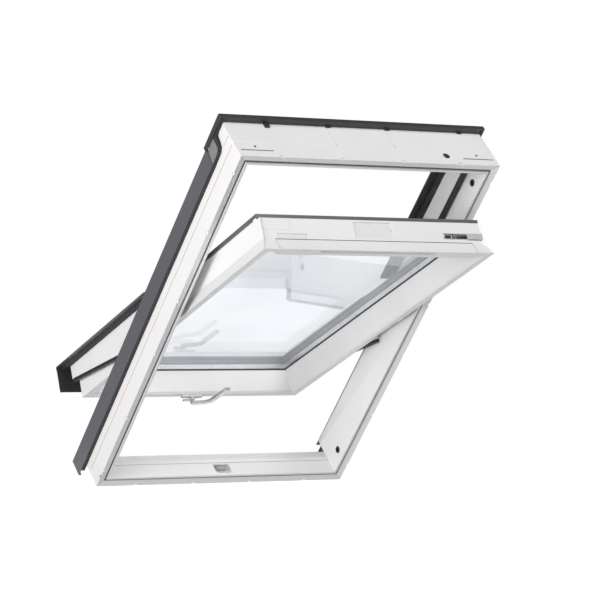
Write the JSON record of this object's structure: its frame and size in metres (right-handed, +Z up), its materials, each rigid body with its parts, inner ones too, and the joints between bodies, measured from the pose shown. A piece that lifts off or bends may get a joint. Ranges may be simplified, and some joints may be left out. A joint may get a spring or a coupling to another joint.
{
  "type": "roof window",
  "caption": "Centre-pivot roof window with a white frame, grey outer covers and a double-glazed sash standing open, with top control bar, slide bolt and handle.",
  "frame": {"origin": "centre of the sill's outer lower face, the face that rests against the lower batten", "axes": "+X across the window to its right seen from the room, +Z up, +Y level from the room to the outside; the frame lies in a roof of 46 degrees, its head over the room side"},
  "size_m": [0.8016, 1.1151, 0.9618],
  "materials": {
    "black_plastic": "matt black plastic",
    "black_seal": "matt black rubber",
    "glass": "clear float glass",
    "grey_cover": "satin grey coated sheet",
    "grey_plastic": "matt grey plastic",
    "handle_metal": "satin metal",
    "hinge_steel": "zinc-plated steel",
    "plate_metal": "satin metal foil",
    "spacer_metal": "bright rolled metal",
    "white_frame": "satin white coating",
    "white_plastic": "satin white plastic",
    "white_sash": "satin white coating"
  },
  "bodies": {
    "frame": {"frame_head": "white_frame", "frame_sill": "white_frame", "frame_jamb_left": "white_frame", "frame_jamb_right": "white_frame", "head_plug": "black_plastic", "striker": "white_plastic", "bolt_bushes": "black_plastic", "stop_seal": "black_seal", "weather_seal": "black_seal", "side_cover_left": "grey_cover", "side_cover_right": "grey_cover", "side_band_left": "black_seal", "side_band_right": "black_seal", "corner_block_left": "grey_plastic", "corner_block_right": "grey_plastic", "head_cover": "grey_cover", "head_clips": "black_plastic", "frame_hinge_left": "hinge_steel", "frame_hinge_right": "hinge_steel"},
    "sash": {"sash_top_rail": "white_sash", "filter_covers": "white_plastic", "data_plate": "plate_metal", "sash_bottom_rail": "white_sash", "sash_stile_left": "white_sash", "sash_stile_right": "white_sash", "rail_seal_left": "black_seal", "rail_seal_right": "black_seal", "sash_hinge_left": "hinge_steel", "sash_hinge_right": "hinge_steel", "inner_gasket": "black_seal", "inner_pane": "glass", "edge_seal": "black_seal", "spacer_bar": "spacer_metal", "outer_pane": "glass", "outer_gasket": "black_seal", "setting_blocks": "black_plastic", "sash_cover_top": "grey_cover", "sash_cover_left": "grey_cover", "sash_cover_right": "grey_cover", "pivot_cap_left": "grey_cover", "pivot_cap_right": "grey_cover", "lower_cover_left": "grey_cover", "lower_cover_right": "grey_cover", "cover_foam_left": "black_seal", "cover_foam_right": "black_seal", "bottom_cover": "grey_cover", "bottom_skirt": "black_plastic", "bolt_housing": "white_plastic", "handle_base": "white_plastic"},
    "control_bar": {"control_flap": "white_sash"},
    "bolt": {"slide_bolt": "handle_metal"},
    "handle": {"handle": "handle_metal"}
  },
  "joints": [
    {"name": "sash_pivot", "type": "hinge", "parent": "frame", "child": "sash", "pos_m": [0, -0.33935, 0.49249], "axis": [1, 0, 0], "range_deg": [-26, 135]},
    {"name": "control_bar_hinge", "type": "hinge", "parent": "sash", "child": "control_bar", "pos_m": [0, -0.85279, 0.59636], "axis": [1, 0, 0], "range_deg": [0, 25]},
    {"name": "bolt_slide", "type": "slide", "parent": "sash", "child": "bolt", "axis": [1, 0, 0], "range_m": [0, 0.042]},
    {"name": "handle_turn", "type": "hinge", "parent": "sash", "child": "handle", "pos_m": [-0.005, 0.12807, 0.20956], "axis": [0, -0.342, -0.9397], "range_deg": [0, 90]}
  ]
}
